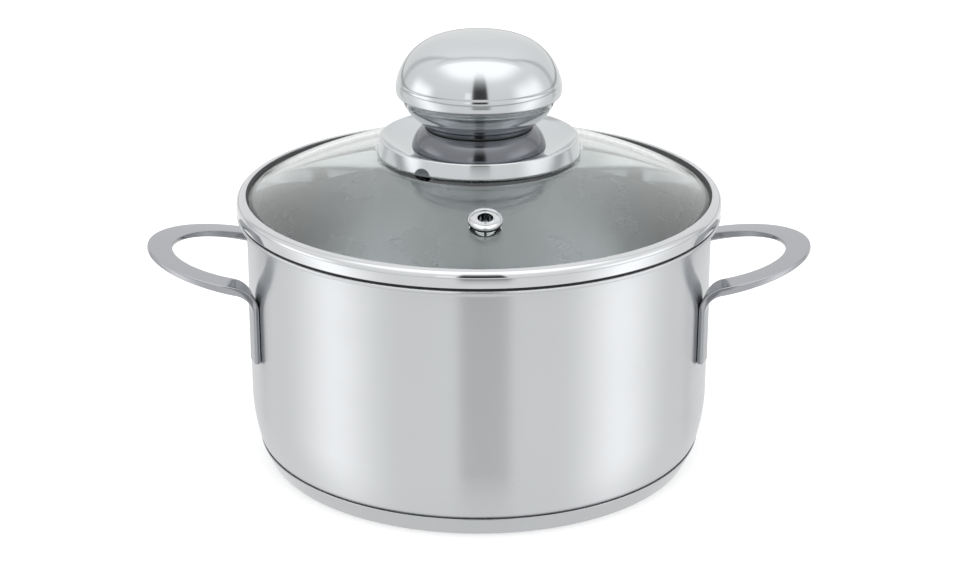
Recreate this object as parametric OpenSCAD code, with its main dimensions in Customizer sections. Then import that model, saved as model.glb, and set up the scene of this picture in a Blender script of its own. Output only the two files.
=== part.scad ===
// Two-handled saucepan with a domed glass lid.
// Frame: origin on the table under the pot's axis, +Z up, +X through the two handles,
// and the lid's steam vent on the -Y side.

/* [Pot body] */
// Outer diameter of the straight wall
body_d = 163.2; // [130:0.2:200]
// Height of the rim above the table
body_h = 90.2; // [75:0.1:130]
// Thickness of the drawn steel wall and floor
wall = 0.8; // [0.6:0.1:1.2]
// Radius of the gentle inward curve of the lower wall
belly_r = 60; // [45:1:75]
// Height at which the lower wall starts to curve in
belly_z = 25; // [22:0.5:30]
// Height at which the wall turns in towards the floor
turn_z = 8.8; // [7.8:0.1:10]
// Radius of the turn between wall and floor
foot_r = 4; // [3:0.1:5]
// Radius under the flared pouring lip
flare_r = 2.3; // [1.5:0.1:3]
// Radius of the rounded lip edge
lip_bead_r = 0.65; // [0.5:0.05:0.9]

/* [Sandwich base] */
// Thickness of the steel cap under the base
base_skin = 0.5; // [0.4:0.1:0.8]
// Height of the cap's upper edge
base_h = 7.0; // [6:0.1:7.6]
// Distance from the straight wall inwards to the cap's foot on the table
base_foot_in = 6.3; // [5.7:0.1:8]
// Radius of the cap's lower corner
base_corner = 0.9; // [0.8:0.1:1.5]
// Lean of the cap's side from upright, in degrees
base_lean = 26; // [20:0.5:30]

/* [Handles] */
// Half the width across the outsides of a handle's two arms
grip_half_w = 31.7; // [26:0.1:36]
// Width of the arms where they meet the bends
arm_w = 8.5; // [6:0.5:10]
// Width of the legs on the wall
leg_w = 6; // [4:0.5:8]
// Thickness of the strap in the arms
arm_t = 3.1; // [2.5:0.1:4.5]
// Thickness of the legs on the wall
leg_t = 2.3; // [1.8:0.1:3.5]
// Reach of the grip beyond the bends
grip_reach = 33.9; // [26:0.1:40]
// Width of the grip at its outermost point
grip_w = 8.9; // [6:0.1:11]
// Thickness of the grip at its outermost point
grip_t = 1.8; // [1.4:0.1:3]
// Outer radius of the bend between leg and arm
bend_r = 8.8; // [7:0.1:15]
// Rise of the grip from the bends outwards, in degrees
grip_rise = 10.3; // [0:0.1:14]
// Lean of the arms' outer edges downwards at the bends, in degrees
arm_lean = 3; // [0:0.5:8]
// Distance from the rim down to the start of the bends
handle_drop = 27.4; // [24:0.1:34]
// Length of the straight leg welded to the wall
leg_h = 19.8; // [10:0.1:24]

/* [Lid ring] */
// Height of the ring above the pot's rim
ring_h = 6.7; // [6:0.1:8]
// Overhang of the ring beyond the pot's lip
ring_over = 0.25; // [0.1:0.05:1]
// Width of the ring's top, from its outside to the hem
ring_top_w = 3.5; // [2.8:0.1:4.5]
// Radius of the ring's upper outer corner
ring_corner = 2.8; // [1:0.1:3]
// Lean of the ring's side inwards towards its lower edge, in degrees
ring_lean = 5; // [0:0.5:6]
// Thickness of the ring's sheet steel
ring_t = 0.6; // [0.4:0.1:0.8]
// Thickness of the ring's seat on the rim
seat_t = 1.5; // [1.2:0.1:2]
// Height of the dark gap between lip and ring
shadow_gap = 0.8; // [0.5:0.1:1.2]
// Depth of the collar inside the pot
collar_h = 6.7; // [4:0.1:10]
// Gap between collar and pot wall at the rim
collar_gap = 1.4; // [0.8:0.1:2]
// Lean of the collar towards the axis over its depth
collar_lean = 1.6; // [0:0.1:3]

/* [Glass] */
// Thickness of the tempered glass
glass_t = 4; // [3:0.1:5]
// Height of the flat middle of the glass above the rim
dome_h = 20.8; // [16:0.1:28]
// Radius of the flat middle under the knob
plateau_r = 35; // [30:0.5:38]
// Height of the glass surface above the rim, where it meets the hem
glass_edge_h = 5.1; // [4.6:0.1:5.6]
// Gap between the glass edge and the inside of the ring
glass_edge_gap = 0.9; // [0.5:0.1:1.2]
// Thickness of the seal under the glass edge
seal_t = 0.5; // [0.3:0.1:0.8]

/* [Steam vent] */
// Distance of the vent from the lid's axis
vent_r = 59; // [50:0.5:64]
// Direction of the vent around the lid, in degrees from +X
vent_dir = -88; // [-180:1:180]
// Diameter of the steam hole
vent_hole_d = 5; // [3:0.1:6]
// Diameter of the eyelet's upper flange
eyelet_d = 11.5; // [10.5:0.1:14]
// Thickness of the eyelet's flanges
eyelet_t = 1.1; // [0.8:0.1:1.5]
// Diameter of the eyelet's barrel
eyelet_barrel_d = 7.6; // [6.6:0.1:8.2]
// Height of the vent seal above the glass
vent_seal_t = 0.9; // [0.6:0.1:1.4]

/* [Knob] */
// Radius of the saucer-shaped plate under the knob
flange_r = 35.7; // [35.2:0.1:40]
// Height of the plate's rim
flange_h = 5.3; // [4:0.1:6]
// Lean of the plate's rim inwards towards its upper edge, in degrees
flange_lean = 11; // [0:1:15]
// Thickness of the plate at its middle
flange_t = 1.3; // [1:0.1:1.6]
// Width of the drain notch in the plate's lower edge
notch_w = 6.8; // [5:0.1:8]
// Height of the drain notch
notch_h = 2.4; // [1.5:0.1:2.6]
// Direction of the drain notch, in degrees from +X
notch_dir = -122.5; // [-180:0.5:180]
// Radius of the bell's foot
bell_r = 23.4; // [20:0.1:26]
// Height of the bell
bell_h = 7; // [5:0.1:9]
// Bulge of the bell's side beyond a straight cone
bell_bulge = 0.8; // [0.3:0.1:1]
// Radius of the knob's neck and of the bell's top
neck_r = 19; // [16:0.1:21]
// Sheet thickness of the knob's shells
knob_t = 0.8; // [0.6:0.1:1.1]
// Height of the heat-break washer between bell and knob
break_t = 0.5; // [0.4:0.1:1.2]
// Inset of the heat-break washer from the neck
break_inset = 0.6; // [0.4:0.1:1.5]
// Radius of the knob at its widest
knob_r = 28.85; // [25:0.05:33]
// Height of the knob's widest circle above its neck
knob_waist_h = 13.2; // [11.5:0.1:17]
// Height of the knob's top above its widest circle
knob_top_h = 18.4; // [14:0.1:24]
// Exponent of the knob's outline outwards, 2 is an ellipse
knob_exp_r = 3.35; // [2:0.05:4]
// Exponent of the knob's outline upwards, 2 is an ellipse
knob_exp_z = 1.65; // [1.4:0.05:2.4]
// Distance of the cap's lower edge below the widest circle
cap_skirt_h = 2.0; // [1.2:0.1:3]

/* [Screw and seals] */
// Diameter of the knob screw's thread
screw_d = 5; // [4:0.5:6]
// Diameter of the screw's head
screw_head_d = 9; // [8:0.5:11]
// Height of the screw's head
screw_head_h = 3.2; // [2.5:0.1:4]
// Radial clearance of the holes that the screw passes through
screw_clear = 0.2; // [0.1:0.05:0.4]
// Radial clearance modelled in the threaded bush
thread_clear = 0.05; // [0.02:0.01:0.1]
// Diameter of the hole in the middle of the glass
glass_hole_d = 8; // [7.5:0.1:10]
// Thickness of the seal above the glass
upper_seal_t = 0.6; // [0.4:0.1:1]
// Thickness of the seal below the glass
lower_seal_t = 1.2; // [0.8:0.1:2]
// Thickness of the flat washer
washer_t = 1; // [0.8:0.1:1.5]
// Thickness of the lock washer
lock_t = 1.2; // [0.8:0.1:1.5]
// Outer radius of the threaded bush
bush_r = 6; // [4.5:0.1:8]
// Length of the threaded bush
bush_h = 11; // [8:0.5:13]

/* [Fits] */
// Gap between the lid's seat and the rim
seat_gap = 0.1; // [0.05:0.05:0.3]
// Gap between pieces that fit side by side
fit = 0.05; // [0.03:0.01:0.1]

/* [Hidden] */
$fn = 144;

// Distance that a cut runs past the face it opens
past = 1;

// Pot
body_r = body_d / 2;
belly_c = [body_r - belly_r, belly_z];
turn_a = asin((belly_z - turn_z) / belly_r);
foot_c = belly_c + (belly_r - foot_r) * [cos(turn_a), -sin(turn_a)];
floor_z = foot_c[1] - foot_r;
flare_z = body_h - wall - flare_r;
lip_c = [body_r + flare_r + 0.2, body_h - lip_bead_r];
lip_r = lip_c[0] + lip_bead_r;
base_foot_r = body_r - base_foot_in;

// Handles: one half of the right-hand one, with Y above zero
leg_dir = asin((grip_half_w - leg_w / 2) / body_r);
bend_z = body_h - handle_drop;
bend_a = 90 - grip_rise;
grip_at = [body_r * cos(leg_dir) + bend_r * (1 - cos(bend_a)), 0, bend_z + bend_r * sin(bend_a)];

// Lid ring and glass
seat_z = body_h + seat_gap;
ring_r = lip_r + ring_over;
ring_z = body_h + ring_h;
band_z = body_h + shadow_gap;
hem_r = ring_r - ring_top_w;
// Radius at the ring's lower edge
band_r = ring_r - (ring_z - ring_corner - band_z) * tan(ring_lean);
channel_z = seat_z + seat_t;
collar_r = body_r - wall - collar_gap;
glass_r = ring_r - ring_t - glass_edge_gap;
glass_low_z = channel_z + seal_t;
plateau_z = body_h + dome_h;
hem_glass_z = body_h + glass_edge_h;
// Centre of the sphere through the hem's circle and the plateau's circle
dome_c = (hem_r * hem_r - plateau_r * plateau_r + hem_glass_z * hem_glass_z - plateau_z * plateau_z)
    / (2 * (hem_glass_z - plateau_z));
dome_r = norm([hem_r, hem_glass_z - dome_c]);
vent_tilt = asin(vent_r / dome_r);
eyelet_barrel_r = eyelet_barrel_d / 2;
// Drop of the dome's surface from the eyelet's middle out to its barrel
vent_drop = dome_r - sqrt(dome_r * dome_r - eyelet_barrel_r * eyelet_barrel_r);

// Knob stack, from the glass upwards
flange_seat_z = plateau_z + upper_seal_t;
flange_z = plateau_z + 0.1;
flange_top_z = flange_z + flange_h;
bell_z = flange_seat_z + flange_t;
bell_top_z = bell_z + bell_h;
// Arc of the bell's side, through its foot and its top
bell_run = [neck_r - bell_r, bell_h];
bell_side_r = bell_run * bell_run / (8 * bell_bulge) + bell_bulge / 2;
bell_c = [(bell_r + neck_r) / 2, bell_h / 2]
    - (bell_side_r - bell_bulge) * [bell_h, bell_r - neck_r] / norm(bell_run);
// Radius at the upper edge of the plate's rim
brim_r = flange_r - flange_h * tan(flange_lean);
// Arc of the saucer, level at the bell's foot and rising to the plate's rim
dish_w = brim_r - bell_r - 2;
dish_h = flange_top_z - bell_z;
dish_r = (dish_w * dish_w + dish_h * dish_h) / (2 * dish_h);
dish_a = asin(dish_w / dish_r);
neck_z = bell_top_z + break_t;
waist_z = neck_z + knob_waist_h;
knob_z = waist_z + knob_top_h;
cap_low_z = waist_z - cap_skirt_h;
cap_low_r = knob_r - 0.65;
shell_r = cap_low_r - knob_t - fit;
shell_bulge = 1.4;

// Screw stack, from the glass downwards
screw_hole_r = screw_d / 2 + screw_clear;
under_z = plateau_z - glass_t;
washer_z = under_z - lower_seal_t - washer_t;
lock_z = washer_z - lock_t;
screw_head_z = lock_z - screw_head_h;
bush_z = neck_z + knob_t;

// Points along an arc about c, from angle a0 to a1 in n steps
function arc(c, r, a0, a1, n) =
    [for (i = [0:n]) c + r * [cos(a0 + (a1 - a0) * i / n), sin(a0 + (a1 - a0) * i / n)]];

// The pot's surface moved inwards by inset: floor, turn, belly and straight wall
function wall_line(inset, top) = concat(
    [[0, floor_z + inset]],
    arc(foot_c, foot_r - inset, -90, -turn_a, 8),
    arc(belly_c, belly_r - inset, -turn_a, 0, 10),
    [[body_r - inset, top], [0, top]]);

// The base cap's surface moved inwards by inset
function base_line(inset, top) = concat(
    [[0, inset]],
    arc([base_foot_r, base_corner], base_corner - inset, -90, -base_lean, 5),
    [[base_foot_r + (base_corner - inset) / cos(base_lean) + (top - base_corner) * tan(base_lean), top],
     [0, top]]);

// The knob cap's outline, from its lower edge over the waist to the top, moved inwards by inset
function cap_line(inset) = concat(
    [[cap_low_r - inset, cap_low_z], [knob_r - inset - 0.17, waist_z - cap_skirt_h / 2]],
    [for (a = [0:5:90]) [(knob_r - inset) * pow(cos(a), 2 / knob_exp_r),
                         waist_z + (knob_top_h - inset) * pow(sin(a), 2 / knob_exp_z)]]);

// The lower shell's outline from the neck to the cap, bulging outwards, moved inwards by inset
function shell_line(inset) =
    [for (i = [0:10]) let (u = i / 10, run = shell_r - neck_r, rise = cap_low_z - neck_z - knob_t,
                           out = (4 * shell_bulge * u * (1 - u) - inset) / norm([run, rise]))
        [neck_r + run * u + rise * out, neck_z + knob_t + rise * u - run * out]];

// ---- Pot ----

module lip_profile() {
    intersection() {
        difference() {
            translate([body_r + flare_r, flare_z]) circle(flare_r + wall);
            translate([body_r + flare_r, flare_z]) circle(flare_r);
        }
        translate([body_r - wall, flare_z]) square([flare_r + wall, flare_r + wall]);
    }
    translate(lip_c) circle(lip_bead_r, $fn = 32);
}

module pot_body() {
    color("gainsboro")
    rotate_extrude() {
        difference() {
            polygon(wall_line(0, flare_z));
            polygon(wall_line(wall, flare_z + past));
        }
        lip_profile();
    }
}

module base_core() {
    color("silver")
    rotate_extrude()
    difference() {
        polygon(base_line(base_skin, base_h - base_skin));
        polygon(wall_line(0, flare_z));
    }
}

module base_cap() {
    color("lightgray")
    rotate_extrude()
    difference() {
        polygon(base_line(0, base_h));
        polygon(base_line(base_skin, base_h + past));
        polygon(wall_line(0, flare_z));
    }
}

// Section of the strap: p is the middle of its upper or wall side, w points across its width
// and n through its thickness, before both lean over; the corners are chamfered
function strap_section(p, w, n, width, t, lean) =
    let (k = t / 5, a = width / 2)
    [for (q = [[k - a, 0], [a - k, 0], [a, k], [a, t - k], [a - k, t], [k - a, t], [-a, t - k], [-a, k]])
        p + q[0] * (cos(lean) * w + sin(lean) * n) + q[1] * (cos(lean) * n - sin(lean) * w)];

// Section on the bend after turning through a; the strap also widens inwards and twists from
// the wall's tangent to the arm's direction
function bend_section(a) =
    let (share = a / bend_a, yaw = leg_dir * (1 - share), width = leg_w + (arm_w - leg_w) * share)
    strap_section([body_r * cos(leg_dir) + bend_r * (1 - cos(a)), grip_half_w - width / 2,
                   bend_z + bend_r * sin(a)],
                  [-sin(yaw), cos(yaw), 0],
                  [cos(yaw) * cos(a), sin(yaw) * cos(a), -sin(a)],
                  width, leg_t + (arm_t - leg_t) * share, arm_lean * share);

// Section of the crescent between two ellipses, a = 0 at the bend and 90 at the tip
function grip_section(a) =
    let (rise = [cos(grip_rise), 0, sin(grip_rise)],
         outside = [grip_reach * sin(a), grip_half_w * cos(a)],
         inside = [(grip_reach - grip_w) * sin(a), (grip_half_w - arm_w) * cos(a)],
         mid = (outside + inside) / 2,
         across = (outside - inside) / norm(outside - inside))
    strap_section(grip_at + mid[0] * rise + [0, mid[1], 0],
                  across[0] * rise + [0, across[1], 0],
                  [sin(grip_rise), 0, -cos(grip_rise)],
                  norm(outside - inside), arm_t + (grip_t - arm_t) * sin(a), arm_lean * cos(a));

half_handle = concat(
    [[for (q = bend_section(0)) q - [0, 0, leg_h]]],
    [for (i = [0:8]) bend_section(bend_a * i / 8)],
    [for (i = [1:12]) grip_section(90 * i / 12)]);

// The same sections in the half with Y below zero, from the tip back to the other leg
other_half = [for (i = [len(half_handle) - 2:-1:0]) [for (q = half_handle[i]) [q[0], -q[1], q[2]]]];

// Closed skin over a row of sections with the same number of points
module skin(rings) {
    n = len(rings[0]);
    m = len(rings);
    polyhedron(
        points = [for (r = rings) for (q = r) q],
        faces = concat(
            [[for (i = [n - 1:-1:0]) i]],
            [[for (i = [0:n - 1]) (m - 1) * n + i]],
            [for (j = [0:m - 2]) for (i = [0:n - 1]) let (k = (i + 1) % n)
                [j * n + i, j * n + k, (j + 1) * n + k, (j + 1) * n + i]]),
        convexity = 4);
}

module handle() { skin(concat(half_handle, other_half)); }

module handle_right() { color("silver") handle(); }

module handle_left() { color("silver") mirror([1, 0, 0]) handle(); }

// ---- Lid ----

// Everything under a sphere about the dome's centre, cut flat at a height
module under_dome(r, top) {
    intersection() {
        translate([0, dome_c]) circle(r, $fn = 360);
        square([glass_r, top]);
    }
}

module glass_profile() {
    intersection() {
        difference() {
            under_dome(dome_r, plateau_z);
            under_dome(dome_r - glass_t, under_z);
        }
        translate([0, glass_low_z]) square([glass_r, dome_h]);
    }
}

// Puts its children on the dome at the vent, with their Z along the glass's normal
module at_vent() {
    rotate([0, 0, vent_dir]) translate([0, 0, dome_c]) rotate([0, vent_tilt, 0])
        translate([0, 0, dome_r]) children();
}

module lid_glass() {
    color("lightcyan", 0.4)
    difference() {
        rotate_extrude() glass_profile();
        translate([0, 0, under_z - past]) cylinder(h = glass_t + 2 * past, d = glass_hole_d);
        at_vent() translate([0, 0, -glass_t - past])
            cylinder(h = glass_t + 2 * past, r = eyelet_barrel_r + fit);
    }
}

// The ring's channel, which holds the glass edge and its seal, rounded as the ring's corner is
module channel_profile() {
    translate([hem_r, channel_z]) {
        square([ring_r - ring_corner - hem_r, ring_z - ring_t - channel_z]);
        square([ring_r - ring_t - hem_r, ring_z - ring_corner - channel_z]);
    }
    translate([ring_r - ring_corner, ring_z - ring_corner]) circle(ring_corner - ring_t);
}

module ring_profile() {
    difference() {
        polygon(concat(
            [[hem_r, ring_z]],
            arc([ring_r - ring_corner, ring_z - ring_corner], ring_corner, 90, -ring_lean, 8),
            arc([band_r - 0.5, band_z + 0.5], 0.5, -ring_lean, -90, 4),
            [[lip_c[0] + 0.1, band_z], [lip_c[0] + 0.1, seat_z], [collar_r, seat_z],
             [collar_r - collar_lean, seat_z - collar_h],
             [collar_r - collar_lean - ring_t, seat_z - collar_h],
             [collar_r - ring_t, channel_z], [hem_r, channel_z]]));
        difference() {
            channel_profile();
            translate([hem_r, hem_glass_z + seal_t]) square([ring_t, ring_h]);
        }
    }
}

module lid_rim() {
    color("gainsboro")
    rotate_extrude() ring_profile();
}

module rim_seal() {
    color("dimgray")
    rotate_extrude()
    difference() {
        union() {
            channel_profile();
            translate([collar_r - ring_t, channel_z]) square([hem_r - collar_r + ring_t, seal_t]);
        }
        ring_profile();
        glass_profile();
    }
}

module vent_eyelet() {
    color("silver")
    at_vent()
    rotate_extrude() {
        difference() {
            union() {
                translate([0, vent_seal_t]) square([eyelet_d / 2 - eyelet_t, eyelet_t]);
                intersection() {
                    translate([eyelet_d / 2 - eyelet_t, vent_seal_t]) circle(eyelet_t, $fn = 32);
                    translate([0, vent_seal_t]) square([eyelet_d / 2, eyelet_t]);
                }
                translate([0, -glass_t - 0.1 - eyelet_t])
                    square([eyelet_barrel_r, glass_t + 0.1 + eyelet_t + vent_seal_t]);
                translate([0, -glass_t - 0.1 - eyelet_t]) square([eyelet_d / 2 - 0.4, eyelet_t]);
            }
            translate([0, -glass_t - 2 * eyelet_t]) square([vent_hole_d / 2, glass_t + 5 * eyelet_t]);
        }
    }
}

// Flat round washer from height z, with a hole
module washer(r, hole_r, z, t) {
    translate([0, 0, z])
    difference() {
        cylinder(h = t, r = r);
        translate([0, 0, -past]) cylinder(h = t + 2 * past, r = hole_r);
    }
}

module vent_seal() {
    color("black") at_vent()
        washer(eyelet_d / 2 - 0.25, eyelet_barrel_r + fit, -vent_drop, vent_seal_t + vent_drop);
}

// ---- Knob ----

module knob_cap() {
    color("gainsboro")
    rotate_extrude()
    difference() {
        polygon(concat([[0, cap_low_z]], cap_line(0)));
        polygon(concat([[0, cap_low_z - past], [cap_low_r - knob_t, cap_low_z - past]], cap_line(knob_t)));
    }
}

// Lower shell: floor with the screw hole, bowl, and a spigot inside the cap
module knob_shell() {
    color("silver")
    rotate_extrude()
    difference() {
        union() {
            polygon(concat([[0, neck_z], [neck_r, neck_z]], shell_line(0), [[0, cap_low_z]]));
            translate([0, cap_low_z]) square([shell_r, cap_skirt_h]);
        }
        polygon(concat([[0, neck_z + knob_t], [neck_r - 2 * knob_t, neck_z + knob_t]],
                       [for (p = shell_line(knob_t)) if (p[1] > neck_z + 1.6 * knob_t) p],
                       [[shell_r - knob_t, cap_low_z], [shell_r - knob_t, waist_z + past],
                        [0, waist_z + past]]));
        translate([0, neck_z - past]) square([screw_hole_r, knob_t + 2 * past]);
    }
}

module knob_neck_washer() {
    color("black") washer(neck_r - break_inset, screw_hole_r, bell_top_z, break_t);
}

// Half the bell's outline moved inwards by inset, and carried on below its foot by low
module bell_profile(inset, low) {
    intersection() {
        translate(bell_c) circle(bell_side_r - inset);
        translate([0, -low]) square([bell_r, low + bell_h - inset]);
    }
}

module knob_bell() {
    color("silver")
    translate([0, 0, bell_z])
    rotate_extrude()
    difference() {
        bell_profile(0, 0);
        bell_profile(knob_t, past);
        square([screw_hole_r, bell_h + past]);
    }
}

// Saucer-shaped plate, hollow underneath, with a drain notch in its rim
module knob_flange() {
    color("gainsboro")
    difference() {
        rotate_extrude()
        polygon(concat(
            [[screw_hole_r, flange_seat_z], [bell_r, flange_seat_z],
             [bell_r + 2, flange_seat_z + 0.4], [flange_r - 2, flange_seat_z + 0.9],
             [flange_r - 2, flange_z]],
            arc([flange_r - 0.5, flange_z + 0.5], 0.5, -90, 0, 4),
            arc([brim_r - 0.6, flange_top_z - 0.6], 0.6, flange_lean, 90, 6),
            arc([bell_r + 1, bell_z + dish_r], dish_r, dish_a - 90, -90, 8),
            [[screw_hole_r, bell_z]]));
        rotate([0, 0, notch_dir]) translate([flange_r - 6, 0, flange_z + notch_h - notch_w / 2])
            rotate([0, 90, 0]) cylinder(h = 8, d = notch_w);
    }
}

module knob_bush() {
    color("darkgray") washer(bush_r, screw_d / 2 + thread_clear, bush_z, bush_h);
}

// Pan-head screw with a cross recess
module knob_screw() {
    color("silver")
    difference() {
        union() {
            translate([0, 0, screw_head_z]) cylinder(h = screw_head_h, d = screw_head_d);
            translate([0, 0, lock_z - past]) cylinder(h = bush_z + bush_h - lock_z + past, d = screw_d);
        }
        for (a = [0, 90])
            rotate([0, 0, a]) translate([-screw_d / 2, -0.5, screw_head_z - past])
            cube([screw_d, 1, past + screw_head_h / 2]);
    }
}

module lock_washer() {
    color("darkgray") washer(screw_d * 0.9, screw_hole_r, lock_z, lock_t);
}

module flat_washer() {
    color("silver") washer(screw_d * 1.6, screw_hole_r, washer_z, washer_t);
}

module glass_seal_upper() {
    color("black") washer(bell_r, glass_hole_d / 2, plateau_z, upper_seal_t);
}

// Seal under the glass, with a sleeve that keeps the screw off the glass
module glass_seal_lower() {
    color("black") {
        difference() {
            union() {
                translate([0, 0, under_z - lower_seal_t]) cylinder(h = lower_seal_t, r = screw_d * 1.8);
                translate([0, 0, under_z - past])
                    cylinder(h = glass_t + upper_seal_t + past, r = glass_hole_d / 2 - fit);
            }
            translate([0, 0, under_z - lower_seal_t - past])
                cylinder(h = glass_t + lower_seal_t + upper_seal_t + 2 * past, r = screw_hole_r);
        }
    }
}

pot_body();
base_core();
base_cap();
handle_left();
handle_right();
lid_glass();
lid_rim();
rim_seal();
vent_eyelet();
vent_seal();
knob_cap();
knob_shell();
knob_neck_washer();
knob_bell();
knob_flange();
knob_bush();
knob_screw();
lock_washer();
flat_washer();
glass_seal_upper();
glass_seal_lower();
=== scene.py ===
"""Stainless steel saucepan with a domed glass lid: its finished surfaces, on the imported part."""

import math

import bmesh
import bpy
from mathutils import Matrix, Vector


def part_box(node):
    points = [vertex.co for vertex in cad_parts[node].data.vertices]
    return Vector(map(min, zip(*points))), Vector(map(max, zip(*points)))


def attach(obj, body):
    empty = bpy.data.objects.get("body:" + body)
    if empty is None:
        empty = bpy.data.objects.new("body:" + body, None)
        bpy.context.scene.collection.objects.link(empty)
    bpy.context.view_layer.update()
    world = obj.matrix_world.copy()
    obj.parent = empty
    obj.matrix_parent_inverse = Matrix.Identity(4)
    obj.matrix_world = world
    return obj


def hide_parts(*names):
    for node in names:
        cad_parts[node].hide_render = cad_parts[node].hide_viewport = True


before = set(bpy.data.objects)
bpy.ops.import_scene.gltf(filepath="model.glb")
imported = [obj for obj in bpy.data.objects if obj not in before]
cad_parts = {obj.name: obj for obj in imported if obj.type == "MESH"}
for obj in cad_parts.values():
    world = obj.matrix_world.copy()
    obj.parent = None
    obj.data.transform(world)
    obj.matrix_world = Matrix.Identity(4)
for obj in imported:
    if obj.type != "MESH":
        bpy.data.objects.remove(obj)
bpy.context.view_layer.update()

# ---- Sizes, all in millimetres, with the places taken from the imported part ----

MM = 0.001


def reach(node):
    """A CAD node's largest radius along X, its lowest and its highest height."""
    low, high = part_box(node)
    return max(high.x, -low.x) / MM, low.z / MM, high.z / MM


lip_r, floor_z, rim_z = reach("pot_body")
cap_top_r, base_z, base_top_z = reach("base_cap")
ring_r, collar_z, ring_z = reach("lid_rim")
glass_r, glass_low_z, plateau_z = reach("lid_glass")
flange_r, flange_z, flange_top_z = reach("knob_flange")
bell_r, bell_z, bell_top_z = reach("knob_bell")
knob_r, cap_low_z, knob_z = reach("knob_cap")
shell_r, neck_z, shell_top_z = reach("knob_shell")

wall_t, lip_out = 0.8, 3.15
wall_r = lip_r - lip_out

# ---- Mesh helpers ----


def arc(centre, radius, start, end, steps=8):
    """Points of an arc, with its angles in degrees from outwards and turning upwards."""
    turns = [math.radians(start + (end - start) * i / steps) for i in range(steps + 1)]
    return [(centre[0] + radius * math.cos(t), centre[1] + radius * math.sin(t)) for t in turns]


def rounded(*corners, steps=5):
    """Closed outline through corners (radius, height, fillet), each rounded to its fillet."""
    points = []
    for i, (r, z, fillet) in enumerate(corners):
        here = Vector((r, z))
        if not fillet:
            points.append((r, z))
            continue
        back = (Vector(corners[i - 1][:2]) - here).normalized()
        ahead = (Vector(corners[(i + 1) % len(corners)][:2]) - here).normalized()
        half = back.angle(ahead) / 2
        centre = here + (back + ahead).normalized() * fillet / math.sin(half)
        first = here + back * fillet / math.tan(half) - centre
        last = here + ahead * fillet / math.tan(half) - centre
        turn = math.atan2(first.x * last.y - first.y * last.x, first.dot(last))
        for k in range(steps + 1):
            a = turn * k / steps
            points.append((centre.x + first.x * math.cos(a) - first.y * math.sin(a),
                           centre.y + first.x * math.sin(a) + first.y * math.cos(a)))
    return points


def mark_sharp(bm):
    """Keeps a crease where two faces meet at an angle, such as along the edge of a hole."""
    for edge in bm.edges:
        edge.smooth = len(edge.link_faces) == 2 and edge.calc_face_angle(0) < math.radians(35)


def finish_mesh(bm, name, materials):
    """Turns a bmesh into a smooth-shaded object at the origin."""
    bmesh.ops.remove_doubles(bm, verts=bm.verts, dist=1e-6)
    bmesh.ops.dissolve_degenerate(bm, edges=bm.edges, dist=1e-7)
    bmesh.ops.recalc_face_normals(bm, faces=bm.faces)
    for face in bm.faces:
        face.smooth = True
    mark_sharp(bm)
    mesh = bpy.data.meshes.new(name)
    bm.to_mesh(mesh)
    bm.free()
    for material in materials:
        mesh.materials.append(material)
    piece = bpy.data.objects.new(name, mesh)
    bpy.context.scene.collection.objects.link(piece)
    return piece


def keep_flats(piece):
    """Lets the large faces decide the shading normals, so that a fillet doesn't bend a flat."""
    weighted = piece.modifiers.new("flats", "WEIGHTED_NORMAL")
    weighted.weight = 80
    weighted.keep_sharp = True


def turned(name, outline, *materials, steps=256, place=None):
    """Spins an outline of (radius, height) points about the axis, as a lathe would."""
    bm = bmesh.new()
    verts = [bm.verts.new((r * MM, 0, z * MM)) for r, z in outline]
    edges = [bm.edges.new(pair) for pair in zip(verts, verts[1:])]
    if outline[0][0] > 0 or outline[-1][0] > 0:
        edges.append(bm.edges.new((verts[-1], verts[0])))
    bmesh.ops.spin(bm, geom=verts + edges, cent=(0, 0, 0), axis=(0, 0, 1),
                   angle=math.tau, steps=steps, use_merge=True)
    if place:
        bmesh.ops.transform(bm, matrix=place, verts=bm.verts)
    return finish_mesh(bm, name, materials)


def cut(piece, bm):
    """Cuts a bmesh's solid out of a piece."""
    tool = finish_mesh(bm, "cutter", ())
    boolean = piece.modifiers.new("cut", "BOOLEAN")
    boolean.object = tool
    boolean.solver = "EXACT"
    solid = piece.evaluated_get(bpy.context.evaluated_depsgraph_get())
    mesh = bpy.data.meshes.new_from_object(solid)
    piece.modifiers.clear()
    piece.data = mesh
    bpy.data.objects.remove(tool)
    bm = bmesh.new()
    bm.from_mesh(mesh)
    mark_sharp(bm)
    bm.to_mesh(mesh)
    bm.free()


def cylinder(radius, height, place):
    """A bmesh of a cylinder about its own Z, put in place."""
    bm = bmesh.new()
    bmesh.ops.create_cone(bm, cap_ends=True, segments=64, radius1=radius * MM, radius2=radius * MM,
                          depth=height * MM, matrix=place)
    return bm


# ---- Materials ----


def linear(code):
    """Linear colour of an sRGB hex code."""
    parts = [int(code[i:i + 2], 16) / 255 for i in (1, 3, 5)]
    return [p / 12.92 if p <= 0.04045 else ((p + 0.055) / 1.055) ** 2.4 for p in parts] + [1.0]


def add(tree, kind, links=None, **settings):
    """Adds a node; links gives each input, by name or number, a value or another node's output."""
    made = tree.nodes.new("ShaderNode" + kind)
    for key, value in settings.items():
        setattr(made, key, value)
    for key, value in (links or {}).items():
        if isinstance(value, bpy.types.NodeSocket):
            tree.links.new(value, made.inputs[key])
        else:
            made.inputs[key].default_value = value
    return made


def new_material(name):
    material = bpy.data.materials.new(name)
    material.use_nodes = True
    material.node_tree.nodes.clear()
    return material, material.node_tree


# How far a buffing line runs before it changes, and the size of a handled patch
LINE_RUN_MM, PATCH_MM = 1000 / 60, 1000 / 45


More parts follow.
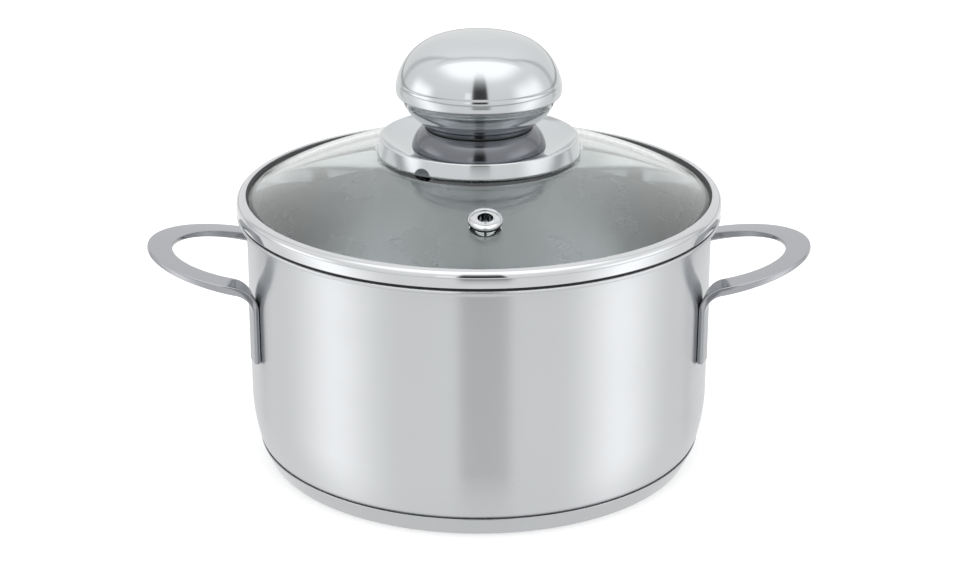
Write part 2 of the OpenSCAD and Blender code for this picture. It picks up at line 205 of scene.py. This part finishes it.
def steel(name, colour, polish, smear, line_mm, line_depth_mm=0.0, anisotropy=0.0):
    """Metal turned, buffed or pressed about the axis: fine lines run round it.

    polish and smear are the roughness of clean and of handled patches, line_mm the spacing and
    line_depth_mm the depth of the lines, and anisotropy how far they draw a reflection out.
    """
    material, tree = new_material(name)
    place = add(tree, "TexCoord").outputs["Object"]
    flat = add(tree, "VectorMath", {0: place, 1: (1, 1, 0)}, operation="MULTIPLY").outputs[0]
    radius = add(tree, "VectorMath", {0: flat}, operation="LENGTH").outputs["Value"]
    parts = add(tree, "SeparateXYZ", {0: place}).outputs
    steps = [add(tree, "Math", {0: value, 1: 1000 / size_mm}, operation="MULTIPLY").outputs[0]
             for value, size_mm in ((radius, line_mm), (parts[2], line_mm),
                                    (parts[0], LINE_RUN_MM))]
    round_the_axis = add(tree, "CombineXYZ", dict(enumerate(steps))).outputs[0]
    lines = add(tree, "TexNoise", {"Vector": round_the_axis, "Scale": 1, "Detail": 2})
    patches = add(tree, "TexNoise", {"Vector": place, "Scale": 1000 / PATCH_MM, "Detail": 4})
    worn = add(tree, "MapRange", {"Value": patches.outputs["Fac"], 1: 0.35, 2: 0.7,
                                  3: polish, 4: smear}).outputs[0]
    uneven = add(tree, "MapRange", {"Value": lines.outputs["Fac"], 1: 0.2, 2: 0.8,
                                    3: 0.96, 4: 1.04}).outputs[0]
    rough = add(tree, "Math", {0: worn, 1: uneven}, operation="MULTIPLY").outputs[0]
    shader = add(tree, "BsdfPrincipled", {
        "Base Color": linear(colour), "Metallic": 1.0, "Roughness": rough,
        "Anisotropic": anisotropy, "Anisotropic Rotation": 0.25})
    if line_depth_mm:
        grooves = add(tree, "Bump", {"Height": lines.outputs["Fac"],
                                     "Distance": line_depth_mm * MM})
        tree.links.new(grooves.outputs[0], shader.inputs["Normal"])
    add(tree, "OutputMaterial", {"Surface": shader.outputs[0]})
    return material


def soft_polymer(name, colour, roughness, grain_mm, grain_depth_mm, ior):
    """Moulded rubber or plastic with a fine matt grain."""
    material, tree = new_material(name)
    place = add(tree, "TexCoord").outputs["Object"]
    grain = add(tree, "TexNoise", {"Vector": place, "Scale": 1000 / grain_mm,
                                   "Detail": 3}).outputs["Fac"]
    rough = add(tree, "MapRange", {"Value": grain, 1: 0.3, 2: 0.7,
                                   3: roughness - 0.06, 4: roughness + 0.06}).outputs[0]
    normal = add(tree, "Bump", {"Height": grain, "Distance": grain_depth_mm * MM}).outputs[0]
    shader = add(tree, "BsdfPrincipled", {
        "Base Color": linear(colour), "Roughness": rough, "Normal": normal, "IOR": ior})
    add(tree, "OutputMaterial", {"Surface": shader.outputs[0]})
    return material


def tempered_glass(name, colour, second_colour):
    """Pressed and tempered soda-lime glass: clear, its faint green a little uneven."""
    material, tree = new_material(name)
    place = add(tree, "TexCoord").outputs["Object"]
    cloud = add(tree, "TexNoise", {"Vector": place, "Scale": 22, "Detail": 2}).outputs["Fac"]
    tint = add(tree, "MixRGB", {0: cloud, 1: linear(colour), 2: linear(second_colour)}).outputs[0]
    shader = add(tree, "BsdfPrincipled", {
        "Base Color": tint, "Roughness": 0.0, "IOR": 1.52, "Transmission Weight": 1.0})
    add(tree, "OutputMaterial", {"Surface": shader.outputs[0]})
    return material


# Deep-drawn 18/10 steel buffed round the wall: reflections stay narrow round the pot, and the
# buffing lines draw them out up and down
buffed_wall = steel("buffed_drawn_stainless", "#D0D2D4", 0.25, 0.27, 1.2, anisotropy=1.0)
# The same sheet left satin inside, where it isn't buffed: soft reflections, and a much lighter tone than
# the wall outside, painted light that brightens the inside
satin_inside = steel("satin_drawn_stainless_painted_light", "#F0F1F3", 0.22, 0.3, 0.9, anisotropy=0.6)
# Pressed cap of the capsule base, turned on a lathe: satin with rings that catch the light
turned_base = steel("turned_base_stainless", "#C3C5C7", 0.2, 0.28, 0.8, 0.004, 0.6)
# Rolled strip of the lid's ring, polished
polished_ring = steel("polished_strip_stainless", "#D3D5D7", 0.05, 0.09, 1.0)
# Pressed shells of the knob, polished by hand: a slight haze over clear reflections
polished_knob = steel("polished_pressed_stainless", "#CDD0D2", 0.09, 0.14, 1.0)
# The bell in the shade of the knob: a darker, greyer copy of the knob's steel, painted shade for the shade
# the knob casts into it
dull_bell = steel("painted_shade_bell_stainless", "#77797E", 0.12, 0.2, 1.0)
# Forged strap of the handles, tumbled and buffed
buffed_strap = steel("buffed_forged_stainless", "#ABADB1", 0.08, 0.14, 1.1)
# Machined stainless screw, bush and washers
plain_fastener = steel("machined_fastener_stainless", "#B4B4B2", 0.25, 0.35, 0.6, 0.003)
# Pressed aluminium disc between pot and cap, seen only as an edge
plain_aluminium = steel("pressed_aluminium", "#C5C7C8", 0.35, 0.45, 0.8, 0.004)
clear_glass = tempered_glass("clear_tempered_glass", "#F5F8F7", "#F0F6F4")
# Black silicone of the seals, also put on the lid ring's gap faces as painted shade
black_silicone = soft_polymer("black_silicone_rubber", "#141414", 0.55, 0.7, 0.01, 1.41)
grey_sealant = soft_polymer("grey_silicone_sealant", "#3A3B3C", 0.6, 0.8, 0.02, 1.41)
black_phenolic = soft_polymer("black_moulded_phenolic", "#0E0E0E", 0.35, 0.9, 0.004, 1.6)

# ---- Pot ----

# The wall is straight down to belly_z, curves in by belly_turn degrees, and turns round the foot
belly_r, belly_z, belly_turn = 60, 25, 15.66
foot_r, foot_in, flare_r, flare_drop, bead_r = 4, 6.08, 2.3, 3.1, 0.65
belly_c = (wall_r - belly_r, belly_z)
foot_c = (wall_r - foot_in, floor_z + foot_r)
flare_c = (wall_r + flare_r, rim_z - flare_drop)
bead_c = (lip_r - bead_r, rim_z - bead_r)

outside = ([(0, floor_z)] + arc(foot_c, foot_r, -90, -belly_turn)
           + arc(belly_c, belly_r, -belly_turn, 0, 16)
           + arc(flare_c, flare_r, 180, 102) + arc(bead_c, bead_r, 200, 450, 16))
inside = (arc(flare_c, flare_r + wall_t, 92, 180)
          + arc(belly_c, belly_r - wall_t, 0, -belly_turn, 16)
          + arc(foot_c, foot_r - wall_t, -belly_turn, -90) + [(0, floor_z + wall_t)])
pot_shell = turned("pot_shell", outside + inside, buffed_wall, satin_inside)
# Faces inside the wall and on top of the floor take the satin steel, lightened as painted light
for face in pot_shell.data.polygons:
    centre = face.center / MM
    inner = math.hypot(centre.x, centre.y) < wall_r and centre.z < flare_c[1]
    if inner and Vector((centre.x, centre.y, 0)).dot(face.normal) < 0 or (
            face.normal.z > 0.7 and centre.z < floor_z + 2):
        face.material_index = 1
keep_flats(pot_shell)
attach(pot_shell, "pot")
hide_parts("pot_body")

cap_t, cap_flare = 0.5, 3.98
disc_r = cap_top_r - cap_flare
base_cap = turned("capsule_base_cap", rounded(
    (0, base_z, 0), (disc_r + 0.55, base_z, 0.9), (cap_top_r, base_top_z, 0.18),
    (cap_top_r - cap_t, base_top_z, 0.18), (disc_r + 0.2, base_z + cap_t, 0.4),
    (0, base_z + cap_t, 0)), turned_base)
keep_flats(base_cap)
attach(base_cap, "pot")
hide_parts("base_cap")

# ---- Handles ----

grip_half_w, leg_w, arm_w, grip_w = 31.7, 6, 8.5, 8.9
bend_r, grip_rise, arm_lean = 8.8, math.radians(10.3), math.radians(3)
leg_h, leg_t, arm_t, grip_t, edge_r = 19.8, 2.3, 3.1, 1.8, 0.6


def strap_rows(low, high):
    """Rows across half a handle, from a leg's foot to the middle of the grip.

    Each row is the middle of the side that faces the wall or up, half the strap's width,
    and the strap's thickness, all three as vectors.
    """
    around = math.asin((grip_half_w - leg_w / 2) / wall_r)
    leg_x = wall_r * math.cos(around)
    bend_z = low.z + leg_h
    bend_turn = math.pi / 2 - grip_rise

    def row(middle, across, down, width, thickness, lean):
        return (middle, (across * math.cos(lean) + down * math.sin(lean)) * width / 2,
                (down * math.cos(lean) - across * math.sin(lean)) * thickness)

    def bend_row(share, drop=0.0):
        a, yaw = bend_turn * share, around * (1 - share)
        width = leg_w + (arm_w - leg_w) * share
        return row(Vector((leg_x + bend_r * (1 - math.cos(a)), grip_half_w - width / 2,
                           bend_z - drop + bend_r * math.sin(a))),
                   Vector((-math.sin(yaw), math.cos(yaw), 0)),
                   Vector((math.cos(yaw) * math.cos(a), math.sin(yaw) * math.cos(a), -math.sin(a))),
                   width, leg_t + (arm_t - leg_t) * share, arm_lean * share)

    rows = [bend_row(0, drop) for drop in (leg_h, leg_h - 1.5, 13, 7, 2)]
    rows += [bend_row(i / 9) for i in range(10)]
    start = rows[-1][0] - Vector((0, grip_half_w - arm_w / 2, 0))
    out = Vector((math.cos(grip_rise), 0, math.sin(grip_rise)))
    down = Vector((math.sin(grip_rise), 0, -math.cos(grip_rise)))
    reach_out = (high.x - start.x - 0.1) / out.x
    for i in range(1, 17):
        a = math.radians(90 * i / 16)
        far = out * reach_out * math.sin(a) + Vector((0, grip_half_w * math.cos(a), 0))
        near = (out * (reach_out - grip_w) * math.sin(a)
                + Vector((0, (grip_half_w - arm_w) * math.cos(a), 0)))
        rows.append(row(start + (far + near) / 2, (far - near).normalized(), down,
                        (far - near).length, arm_t + (grip_t - arm_t) * math.sin(a),
                        arm_lean * math.cos(a)))
    return rows


def strap_handle(name, node, side):
    """Strap handle: legs flat on the wall, a bend, and a crescent grip that rises slightly."""
    low, high = (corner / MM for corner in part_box("handle_right"))
    half = strap_rows(low, high)
    mirror_y = Matrix.Diagonal((1, -1, 1))
    rows = half + [tuple(mirror_y @ part for part in row) for row in half[-2::-1]]
    last = len(rows) - 1
    bm = bmesh.new()
    bmesh.ops.create_grid(bm, x_segments=last, y_segments=1, size=1)
    bottom = {v: (rows[round((v.co.x + 1) / 2 * last)], v.co.y) for v in bm.verts}
    for vert, ((middle, across, _), edge) in bottom.items():
        vert.co = middle + across * edge
    lifted = bmesh.ops.extrude_face_region(bm, geom=bm.faces[:])["geom"]
    for vert in (g for g in lifted if isinstance(g, bmesh.types.BMVert)):
        own = min(rows, key=lambda row: min((row[0] + row[1] - vert.co).length,
                                            (row[0] - row[1] - vert.co).length))
        vert.co += own[2]
    bmesh.ops.recalc_face_normals(bm, faces=bm.faces)
    long_edges = [e for e in bm.edges if e.calc_face_angle(0) > math.radians(50)]
    bmesh.ops.bevel(bm, geom=long_edges, offset=edge_r, segments=3, profile=0.5, material=-1,
                    affect="EDGES", clamp_overlap=True)
    bmesh.ops.scale(bm, vec=(side * MM, MM, MM), verts=bm.verts)
    piece = finish_mesh(bm, name, (buffed_strap,))
    smooth = piece.modifiers.new("smooth", "SUBSURF")
    smooth.levels = smooth.render_levels = 2
    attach(piece, "pot")
    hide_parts(node)


strap_handle("right_handle", "handle_right", 1)
strap_handle("left_handle", "handle_left", -1)

# ---- Lid ----


def lid_piece(piece, slot, *nodes):
    """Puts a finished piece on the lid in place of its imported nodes."""
    keep_flats(piece)
    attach(piece, "lid")
    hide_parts(*nodes)


ring_t, ring_top_w, ring_corner, ring_lean = 0.6, 3.5, 2.8, 5
hem_r, hem_glass_z = ring_r - ring_top_w, rim_z + 5.1
flat_r, glass_t, knob_hole_r, glass_edge = 35, 4, 4, 0.4
dome_z = ((hem_r ** 2 - flat_r ** 2 + hem_glass_z ** 2 - plateau_z ** 2)
          / (2 * (hem_glass_z - plateau_z)))
dome_r = math.hypot(hem_r, hem_glass_z - dome_z)
under_r, under_z = dome_r - glass_t, plateau_z - glass_t


def on_dome(radius, across):
    """Angle of the point on a sphere about the dome's centre that is that far from the axis."""
    return math.degrees(math.acos(across / radius))


glass_low_r = math.sqrt(under_r ** 2 - (glass_low_z - dome_z) ** 2)
lid_glass = turned("lid_glass_dome", [
    (knob_hole_r, under_z),
    *arc((0, dome_z), under_r, math.degrees(math.asin((under_z - dome_z) / under_r)),
         on_dome(under_r, glass_low_r), 32),
    (glass_r - glass_edge, glass_low_z), (glass_r, glass_low_z + glass_edge),
    *arc((0, dome_z), dome_r, on_dome(dome_r, glass_r), on_dome(dome_r, flat_r), 32),
    (knob_hole_r, plateau_z)], clear_glass, steps=288)

vent_out, vent_hole_r = 59, 3.85
low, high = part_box("vent_eyelet")
vent_turn = math.atan2(low.y + high.y, low.x + high.x)
vent_place = (Matrix.Rotation(vent_turn, 4, "Z") @ Matrix.Translation((0, 0, dome_z * MM))
              @ Matrix.Rotation(math.asin(vent_out / dome_r), 4, "Y")
              @ Matrix.Translation((0, 0, dome_r * MM)))
cut(lid_glass, cylinder(vent_hole_r, glass_t * 3, vent_place))
lid_piece(lid_glass, "clear_glass", "lid_glass")

collar_r = wall_r - wall_t - 1.4
band_z, seat_z, channel_z = rim_z + 0.8, rim_z + 0.1, rim_z + 1.6
band_r = ring_r - (ring_z - ring_corner - band_z) * math.tan(math.radians(ring_lean))
lid_ring = turned("lid_ring", rounded(
    (hem_r, ring_z, 0.25), (ring_r, ring_z, ring_corner), (band_r, band_z, 0.5),
    (lip_r - 0.55, band_z, 0.1), (lip_r - 0.55, seat_z, 0.1), (collar_r, seat_z, 0.3),
    (collar_r - 1.6, collar_z, 0.2), (collar_r - 1.6 - ring_t, collar_z, 0.2),
    (collar_r - ring_t, channel_z, 0.3), (ring_r - ring_t, channel_z, 0),
    (ring_r - ring_t, ring_z - ring_t, ring_corner - ring_t), (hem_r + ring_t, ring_z - ring_t, 0),
    (hem_r + ring_t, hem_glass_z + 0.5, 0.15), (hem_r, hem_glass_z + 0.5, 0.15)),
    polished_ring, black_silicone)
# Painted shade: the ring's faces in the gap above the pot's lip get the black silicone, standing in for
# the deep shade of that gap
for face in lid_ring.data.polygons:
    centre = face.center / MM
    if math.hypot(centre.x, centre.y) > lip_r - 1 and centre.z < band_z + 0.02:
        face.material_index = 1
lid_piece(lid_ring, "lid_steel", "lid_rim")

vent_eyelet = turned("vent_eyelet_rim", [
    (2.5, -5.1), (2.5, 1.7), *arc((2.85, 1.7), 0.35, 180, 20, 8), *arc((3.6, 0.2), 1.6, 80, 74, 1),
    *arc((3.3, -1.2), 2.9, 76, 40, 8), *arc((5.4, 1.25), 0.35, 30, -90, 6),
    (3.8, 0.9), (3.8, -4.1), (5.3, -4.1), (5.3, -5.1)], polished_ring, steps=96, place=vent_place)
lid_piece(vent_eyelet, "lid_steel", "vent_eyelet")
vent_seal = turned("vent_seal_ring", rounded(
    (vent_hole_r, -0.04, 0), (5.5, -0.09, 0.1), (5.5, 0.88, 0.3), (vent_hole_r, 0.88, 0)),
    black_silicone, steps=96, place=vent_place)
lid_piece(vent_seal, "black_silicone", "vent_seal")

# ---- Knob ----

knob_t, neck_r, screw_hole_r = 0.8, 19, 2.7
waist_z = cap_low_z + 2
line_z, line_depth, line_half_w = waist_z + 2.6, 0.12, 0.25
# The cap's outline is a superellipse: its power along the radius, and along the height
cap_side_power, cap_top_power = 3.35, 1.65
shell_bulge = 1.4


def cap_outline(inset, groove=0.0):
    """The cap from its widest circle to the top, inset from its surface, with a turned line."""
    points = []
    for t in (math.radians(a / 2) for a in range(0, 181, 3)):
        r = (knob_r - inset) * math.cos(t) ** (2 / cap_side_power)
        z = waist_z + (knob_z - waist_z - inset) * math.sin(t) ** (2 / cap_top_power)
        points.append((r - groove * math.exp(-((z - line_z) / line_half_w) ** 2), z))
    return points


def shell_outline(inset):
    """The lower shell from the neck to the cap, bulging outwards, inset from its surface."""
    run, rise = shell_r - neck_r, cap_low_z - neck_z - knob_t
    points = []
    for i in range(17):
        u = i / 16
        out = (4 * shell_bulge * u * (1 - u) - inset) / math.hypot(run, rise)
        points.append((neck_r + run * u + rise * out, neck_z + knob_t + rise * u - run * out))
    return points


cap_shell = turned("knob_cap_shell", [
    *arc((knob_r - 0.62, cap_low_z + 0.45), 0.45, 180, 350, 8), (knob_r - 0.07, waist_z - 0.8),
    *cap_outline(0, line_depth), *reversed(cap_outline(knob_t))], polished_knob)
lid_piece(cap_shell, "knob_steel", "knob_cap")
lower_shell = turned("knob_lower_shell", [
    (0, neck_z), (neck_r - 0.4, neck_z), *arc((neck_r - 0.4, neck_z + 0.4), 0.4, -90, -20, 4),
    *shell_outline(0)[1:], (shell_r, shell_top_z), (shell_r - knob_t, shell_top_z),
    *reversed(shell_outline(knob_t)[2:]), (0, neck_z + knob_t)], polished_knob)
lid_piece(lower_shell, "knob_steel", "knob_shell")

bell_bulge = 0.8
bell_side = Vector((neck_r - bell_r, bell_top_z - bell_z))
bell_side_r = bell_side.length_squared / (8 * bell_bulge) + bell_bulge / 2
bell_out = Vector((bell_side.y, -bell_side.x)).normalized()
bell_middle = Vector(((bell_r + neck_r) / 2, (bell_z + bell_top_z) / 2))
bell_c = bell_middle - bell_out * (bell_side_r - bell_bulge)


def bell_outline(inset):
    """The bell's side from its top down to its foot, inset from its surface."""
    radius = bell_side_r - inset
    top, foot = (math.degrees(math.asin((z - bell_c.y) / radius))
                 for z in (bell_top_z - inset, bell_z))
    return arc(bell_c, radius, top, foot, 14)


outer = bell_outline(0)
foot_round = arc((outer[-1][0] - 0.35, bell_z + 0.3), 0.3, 10, -90, 4)
# The bell's darker steel is painted shade from the knob above it
bell_cup = turned("knob_bell_cup", [
    (screw_hole_r, bell_top_z), (outer[0][0] - 0.35, bell_top_z), *outer[1:-1], *foot_round,
    *reversed(bell_outline(knob_t)), (screw_hole_r, bell_top_z - knob_t)], dull_bell)
lid_piece(bell_cup, "knob_steel", "knob_bell")

flange_lean, flange_wall = 11, 2
brim_r = flange_r - (flange_top_z - flange_z) * math.tan(math.radians(flange_lean))
dish_w, dish_h = brim_r - bell_r - 2, flange_top_z - bell_z
dish_r = (dish_w ** 2 + dish_h ** 2) / (2 * dish_h)
dish_turn = math.degrees(math.asin(dish_w / dish_r))
flange = turned("knob_saucer", [
    (screw_hole_r, flange_z + 0.5), (bell_r, flange_z + 0.5),
    (flange_r - flange_wall, flange_z + 1.4), (flange_r - flange_wall, flange_z),
    *arc((flange_r - 0.5, flange_z + 0.5), 0.5, -90, 0, 5),
    *arc((brim_r - 0.6, flange_top_z - 0.6), 0.6, flange_lean, 90, 8),
    *arc((bell_r + 1, bell_z + dish_r), dish_r, dish_turn - 90, -90, 10),
    (screw_hole_r, bell_z)],
    polished_knob, steps=288)
notch_w, notch_h, notch_turn = 6.8, 2.4, math.radians(-122.5)
notch_c = Vector((flange_r - flange_wall, 0, flange_z + notch_h - notch_w / 2))
cut(flange, cylinder(notch_w / 2, flange_wall * 4, Matrix.Rotation(notch_turn, 4, "Z")
                     @ Matrix.Translation(notch_c * MM) @ Matrix.Rotation(math.pi / 2, 4, "Y")))
lid_piece(flange, "knob_steel", "knob_flange")

for node, material in {
        "base_core": plain_aluminium, "rim_seal": grey_sealant,
        "knob_neck_washer": black_phenolic,
        "knob_bush": plain_fastener, "knob_screw": plain_fastener, "lock_washer": plain_fastener,
        "flat_washer": plain_fastener,
        "glass_seal_upper": black_silicone, "glass_seal_lower": black_silicone}.items():
    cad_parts[node].data.materials.clear()
    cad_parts[node].data.materials.append(material)

# ---- Studio ----


floor_r, fibre_mm = 5, 1000 / 900
paper, tree = new_material("matt_white_paper")
place = add(tree, "TexCoord").outputs["Object"]
fibre = add(tree, "TexNoise", {"Vector": place, "Scale": 1000 / fibre_mm, "Detail": 4})
shade = add(tree, "MapRange", {"Value": fibre.outputs["Fac"], 1: 0.3, 2: 0.7, 3: 0.88, 4: 0.92}).outputs[0]
white = add(tree, "CombineColor", {0: shade, 1: shade, 2: shade}).outputs[0]
shader = add(tree, "BsdfPrincipled", {"Base Color": white, "Roughness": 0.9,
                                      "Emission Color": (1, 1, 1, 1), "Emission Strength": 0.35})
add(tree, "OutputMaterial", {"Surface": shader.outputs[0]})
bm = bmesh.new()
bmesh.ops.create_circle(bm, cap_ends=True, segments=64, radius=floor_r)
floor = finish_mesh(bm, "paper_floor", (paper,))
floor.visible_glossy = False

# White fabric tent round the table: softboxes beside it, a bright sheet above, and an open front
# where the room is dark. The paper on the table goes on below the horizon in the reflections.
# Each panel has its azimuth from the front, half its width, its lowest and highest elevation,
# the blur of its sides, of its lower and of its upper edge, all in degrees, and its brightness.
PANELS = {
    "paper": (0, 190, -95, -1, 6, 6, 6, 0.93),
    "paper_left": (-74, 14, -42, -1, 22, 12, 4, 1.62),
    "paper_right": (74, 14, -42, -1, 22, 12, 4, 1.62),
    "paper_front": (3, 12, -22, -1, 3, 4, 3, 0.42),
    "left_seam": (-131, 5, -20, 62, 4, 6, 20, 0.72),
    "right_seam": (123, 4, -20, 62, 3, 6, 20, 0.7),
    "left_softbox": (-88, 17, -2, 20, 9, 6, 9, 1.6),
    "right_softbox": (76, 22, 2, 27, 12, 6, 12, 1.5),
    "open_front": (1.5, 11, 9.5, 50, 1.5, 1.5, 24, 0.06),
    "front_reflector": (-15, 4.5, 12, 26, 0.8, 1, 2, 1.3),
    "lower_hem": (0, 190, -2, 1.2, 1, 1, 1, 0.45),
}
# Bands that run straight across the ceiling from side to side: where each starts and ends behind
# the lamp, as a share of the ceiling's height, the blur of both, and the brightness.
CEILING = {
    "bright_sheet": (-0.9, 0.12, 0.6, 0.02, 1.6),
    "sheet_edge": (0.27, 0.36, 0.05, 0.02, 0.8),
}
world = bpy.data.worlds.new("white_tent")
bpy.context.scene.world = world
world.use_nodes = True
tree = world.node_tree
tree.nodes.clear()
way = add(tree, "SeparateXYZ", {0: add(tree, "TexCoord").outputs["Generated"]}).outputs
forward = add(tree, "Math", {0: way[1], 1: -1}, operation="MULTIPLY").outputs[0]
azimuth = add(tree, "Math", {0: way[0], 1: forward}, operation="ARCTAN2").outputs[0]
azimuth = add(tree, "Math", {0: azimuth}, operation="DEGREES").outputs[0]
height = add(tree, "Math", {0: way[2]}, operation="ARCSINE").outputs[0]
height = add(tree, "Math", {0: height}, operation="DEGREES").outputs[0]


def between(value, start, end, start_blur, end_blur):
    """1 where a value lies between two edges, fading out over their blurs."""
    steps = [add(tree, "MapRange", {"Value": value, 1: edge - blur, 2: edge + blur},
                 interpolation_type="SMOOTHSTEP").outputs[0]
             for edge, blur in ((start, start_blur), (end, -end_blur))]
    return add(tree, "Math", {0: steps[0], 1: steps[1]}, operation="MULTIPLY").outputs[0]


shade = add(tree, "MapRange", {"Value": height, 1: 20, 2: 60, 3: 0.95, 4: 1.1}).outputs[0]
above = add(tree, "Math", {0: way[2], 1: 0.05}, operation="MAXIMUM").outputs[0]
behind = add(tree, "Math", {0: way[1], 1: above}, operation="DIVIDE").outputs[0]
overhead = between(height, 48, 91, 12, 0.5)
aside = add(tree, "Math", {0: way[0], 1: above}, operation="DIVIDE").outputs[0]
overhead = add(tree, "Math", {0: overhead, 1: between(aside, -0.9, 0.9, 0.5, 0.5)},
               operation="MULTIPLY").outputs[0]
for start, end, start_blur, end_blur, brightness in CEILING.values():
    mask = add(tree, "Math", {0: overhead, 1: between(behind, start, end, start_blur, end_blur)},
               operation="MULTIPLY").outputs[0]
    shade = add(tree, "Mix", {0: mask, 2: shade, 3: brightness}).outputs[0]
for centre, half, lowest, highest, side_blur, low_blur, top_blur, brightness in PANELS.values():
    off = add(tree, "Math", {0: azimuth, 1: centre}, operation="SUBTRACT").outputs[0]
    mask = add(tree, "Math", {0: between(off, -half, half, side_blur, side_blur),
                              1: between(height, lowest, highest, low_blur, top_blur)},
               operation="MULTIPLY").outputs[0]
    shade = add(tree, "Mix", {0: mask, 2: shade, 3: brightness}).outputs[0]
sky = add(tree, "Background", {"Color": (1, 1, 1, 1), "Strength": shade})
plain = add(tree, "Background", {"Color": (1, 1, 1, 1), "Strength": 1.0})
seen = add(tree, "LightPath").outputs["Is Camera Ray"]
tent = add(tree, "MixShader", {0: seen, 1: sky.outputs[0], 2: plain.outputs[0]})
add(tree, "OutputWorld", {"Surface": tent.outputs[0]})

tilt, distance, aim = math.radians(20.96), 0.80237, Vector((0.00037, 0, 0.05722))
camera = bpy.data.objects.new("camera", bpy.data.cameras.new("camera"))
camera.data.sensor_width = 36
camera.data.lens = 84.23
camera.location = aim + distance * Vector((0, -math.cos(tilt), math.sin(tilt)))
camera.rotation_euler = (math.pi / 2 - tilt, 0, 0)
bpy.context.scene.collection.objects.link(camera)
bpy.context.scene.camera = camera
bpy.context.scene.view_settings.view_transform = "Standard"
